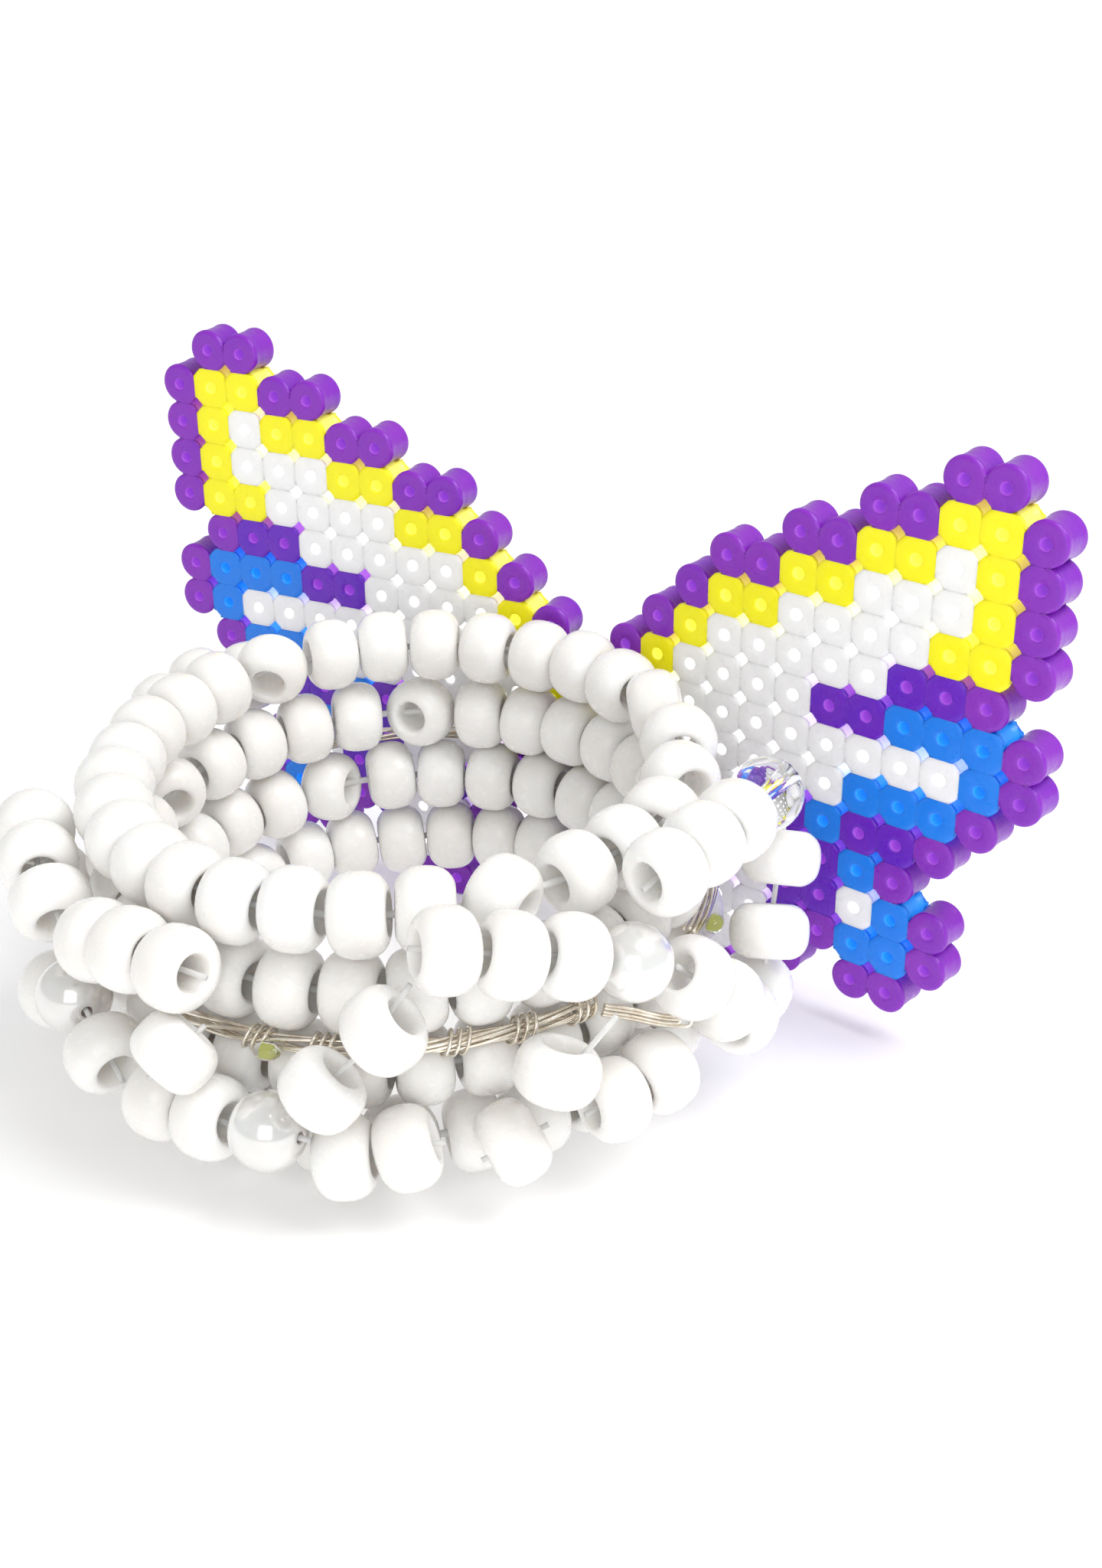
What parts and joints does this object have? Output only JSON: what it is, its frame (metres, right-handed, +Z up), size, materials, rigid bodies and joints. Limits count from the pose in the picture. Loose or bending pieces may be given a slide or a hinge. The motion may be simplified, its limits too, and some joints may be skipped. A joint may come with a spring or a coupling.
{
  "type": "beaded butterfly cuff",
  "caption": "Cuff of white pony beads in two layers, with wire string lights woven between them and a fused-bead butterfly standing behind on two hinged wings.",
  "frame": {"origin": "middle of the footprint, on the surface that the piece stands on", "axes": "+X along the wing span, +Y from the cuff to the back of the wings, +Z up"},
  "size_m": [0.1266, 0.1008, 0.0749],
  "materials": {
    "white_pony_bead": "opaque white moulded plastic with a soft gloss",
    "pearl_bead": "pearl lacquer over plastic",
    "clear_bead": "clear, smooth",
    "fused_purple": "fused plastic beads, ironed smooth",
    "fused_yellow": "fused plastic beads, ironed smooth",
    "fused_white": "fused plastic beads, slightly translucent",
    "fused_blue": "fused plastic beads, ironed smooth",
    "light_wire": "fine bare wire, twisted, champagne silver",
    "led_drop": "clear epoxy drop over a pale yellow chip",
    "clear_elastic": "clear stretch cord",
    "battery_case": "white moulded plastic, finely textured",
    "coin_cell": "brushed nickel-plated steel",
    "foam_pad": "double-sided foam tape"
  },
  "bodies": {
    "cuff": {"inner_ring_1": "white_pony_bead", "inner_ring_2": "white_pony_bead", "inner_ring_3": "white_pony_bead", "inner_ring_4": "white_pony_bead", "top_far_left": "white_pony_bead", "rise_far_left": "white_pony_bead", "foot_far_left": "white_pony_bead", "rise_left": "white_pony_bead", "top_left": "white_pony_bead", "foot_left": "white_pony_bead", "top_front_left": "white_pony_bead", "rise_front_left": "white_pony_bead", "foot_front_left": "white_pony_bead", "rise_front": "white_pony_bead", "top_front_right": "white_pony_bead", "foot_front": "white_pony_bead", "foot_front_right": "white_pony_bead", "rise_front_right": "white_pony_bead", "foot_right": "white_pony_bead", "fall_right": "white_pony_bead", "top_right": "white_pony_bead", "foot_far_right": "white_pony_bead", "rise_far_right": "white_pony_bead", "light_wire_front": "light_wire", "light_wire_right": "light_wire", "light_wire_back": "light_wire", "light_wire_loop": "light_wire", "wire_wrap_1": "light_wire", "wire_wrap_2": "light_wire", "wire_wrap_3": "light_wire", "wire_wrap_4": "light_wire", "wire_wrap_5": "light_wire", "led_front": "led_drop", "led_right": "led_drop", "led_left": "led_drop", "led_back": "led_drop", "butterfly_body": "fused_purple", "body_tie_upper": "clear_elastic", "body_tie_lower": "clear_elastic", "case_shell": "battery_case", "coin_cell_1": "coin_cell", "coin_cell_2": "coin_cell", "foam_pad_1": "foam_pad", "foam_pad_2": "foam_pad", "light_lead": "light_wire"},
    "right_wing": {"right_wing": "fused_purple"},
    "left_wing": {"left_wing": "fused_purple"},
    "pearl_left": {"pearl_left": "pearl_bead"},
    "pearl_front": {"pearl_front": "pearl_bead"},
    "pearl_right": {"pearl_right": "pearl_bead"},
    "crystal_bead": {"crystal_bead": "clear_bead"},
    "case_cover": {"case_cover": "battery_case"},
    "switch_slider": {"switch_slider": "battery_case"}
  },
  "joints": [
    {"name": "right_wing_flap", "type": "hinge", "parent": "cuff", "child": "right_wing", "pos_m": [0.00295, 0.03761, 0.00042], "axis": [0, -0.0837, 0.9965], "range_deg": [-5, 12]},
    {"name": "left_wing_flap", "type": "hinge", "parent": "cuff", "child": "left_wing", "pos_m": [-0.00295, 0.03761, 0.00042], "axis": [0, 0.0837, -0.9965], "range_deg": [-5, 12]},
    {"name": "pearl_left_spin", "type": "hinge", "parent": "cuff", "child": "pearl_left", "pos_m": [-0.01824, -0.04003, 0.01588], "axis": [0.9048, -0.4254, -0.019], "continuous": true},
    {"name": "pearl_front_spin", "type": "hinge", "parent": "cuff", "child": "pearl_front", "pos_m": [0.01084, -0.04214, 0.01096], "axis": [0.9898, 0.076, 0.1206], "continuous": true},
    {"name": "pearl_right_spin", "type": "hinge", "parent": "cuff", "child": "pearl_right", "pos_m": [0.03779, -0.01758, 0.0284], "axis": [0.4104, 0.8607, -0.3013], "continuous": true},
    {"name": "crystal_bead_spin", "type": "hinge", "parent": "cuff", "child": "crystal_bead", "pos_m": [0.0392, 0.00614, 0.03927], "axis": [-0.0564, 0.9951, 0.0817], "continuous": true},
    {"name": "case_cover_slide", "type": "slide", "parent": "cuff", "child": "case_cover", "axis": [0, -0.0837, 0.9965], "range_m": [0, 0.022]},
    {"name": "switch_slide", "type": "slide", "parent": "cuff", "child": "switch_slider", "axis": [1, 0, 0], "range_m": [0, 0.0025]}
  ]
}
